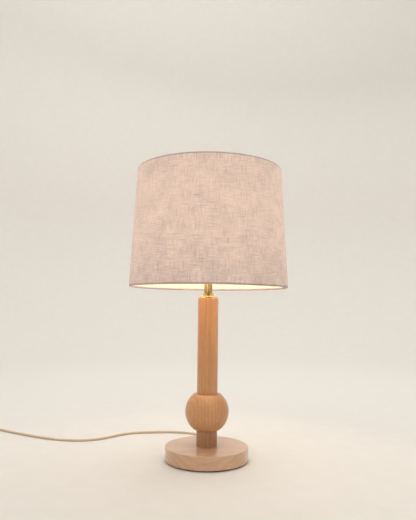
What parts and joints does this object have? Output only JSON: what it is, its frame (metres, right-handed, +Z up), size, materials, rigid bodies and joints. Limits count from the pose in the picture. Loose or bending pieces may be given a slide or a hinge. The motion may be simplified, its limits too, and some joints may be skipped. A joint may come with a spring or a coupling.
{
  "type": "table lamp with shade",
  "caption": "Table lamp on a turned wooden base with a ball below a straight column, brass neck and harp, and a tapered linen drum shade.",
  "frame": {"origin": "centre of the base on the surface that the lamp stands on", "axes": "+Z up along the column and shade; the mains cord leaves the base towards +Y; the switch knob faces -Y; the harp stands in the XZ plane"},
  "size_m": [0.7445, 0.4141, 0.5562],
  "materials": {
    "beech": "matt",
    "brass": "polished",
    "zinc_steel": "satin",
    "foot_felt": "matt",
    "linen": "woven",
    "styrene": "matt",
    "ring_enamel": "satin",
    "phenolic": "gloss",
    "fibre_board": "matt",
    "cord_braid": "braided",
    "relief_rubber": "matt",
    "core_insulation": "satin",
    "plug_plastic": "satin",
    "nickel": "satin",
    "bulb_plastic": "satin",
    "bulb_glass": "frosted",
    "board_white": "satin"
  },
  "bodies": {
    "root": {"base_pad": "foot_felt", "base_disc": "beech", "base_washer": "zinc_steel", "base_nut": "zinc_steel", "lower_column": "beech", "ball": "beech", "upper_column": "beech", "threaded_rod": "zinc_steel", "vase_cap": "brass", "neck_tube": "brass", "harp_saddle": "brass", "socket_cap": "brass", "set_screw": "zinc_steel", "socket_shell": "brass", "socket_liner": "fibre_board", "socket_body": "phenolic", "terminal_screws": "brass", "screw_shell": "brass", "centre_contact": "brass", "inner_cord": "cord_braid", "core_wires": "core_insulation", "cord_gland": "relief_rubber", "cord": "cord_braid", "cord_coil": "cord_braid", "cord_tie": "relief_rubber", "cord_tail": "cord_braid", "plug_relief": "plug_plastic", "plug_body": "plug_plastic", "plug_blades": "brass"},
    "harp": {"harp": "brass"},
    "left_sleeve": {"sleeve_left": "brass"},
    "right_sleeve": {"sleeve_right": "brass"},
    "shade_stud": {"harp_stud": "brass"},
    "shade": {"shade_cover": "linen", "shade_liner": "styrene", "top_ring": "ring_enamel", "bottom_ring": "ring_enamel", "spider": "ring_enamel"},
    "finial": {"finial": "brass"},
    "switch": {"switch_shaft": "brass", "switch_knob": "phenolic"},
    "bulb_tip": {"bulb_contact": "nickel"},
    "bulb": {"bulb_insulator": "phenolic", "bulb_screw_cap": "nickel", "bulb_housing": "bulb_plastic", "led_board": "board_white", "bulb_globe": "bulb_glass"}
  },
  "joints": [
    {"name": "harp_lift", "type": "slide", "parent": "root", "child": "harp", "axis": [0, 0, 1], "range_m": [0, 0.025]},
    {"name": "left_sleeve_slide", "type": "slide", "parent": "harp", "child": "left_sleeve", "axis": [0, 0, 1], "range_m": [0, 0.012]},
    {"name": "right_sleeve_slide", "type": "slide", "parent": "harp", "child": "right_sleeve", "axis": [0, 0, 1], "range_m": [0, 0.012]},
    {"name": "shade_turn", "type": "hinge", "parent": "harp", "child": "shade_stud", "pos_m": [0, 0, 0.53123], "axis": [0, 0, 1], "continuous": true},
    {"name": "shade_lift", "type": "slide", "parent": "shade_stud", "child": "shade", "axis": [0, 0, 1], "range_m": [0, 0.04]},
    {"name": "finial_turn", "type": "hinge", "parent": "shade", "child": "finial", "pos_m": [0, 0, 0.53323], "axis": [0, 0, 1], "continuous": true},
    {"name": "switch_turn", "type": "hinge", "parent": "root", "child": "switch", "pos_m": [0, -0.026, 0.36373], "axis": [0, -1, 0], "continuous": true},
    {"name": "bulb_lift", "type": "slide", "parent": "root", "child": "bulb_tip", "axis": [0, 0, 1], "range_m": [0, 0.01814]},
    {"name": "bulb_turn", "type": "hinge", "parent": "bulb_tip", "child": "bulb", "pos_m": [0, 0, 0.37273], "axis": [0, 0, 1], "range_deg": [0, 1800]}
  ],
  "couplings": [
    {"joint": "bulb_turn", "follows": "bulb_lift", "rad_per_m": 1731.6}
  ]
}
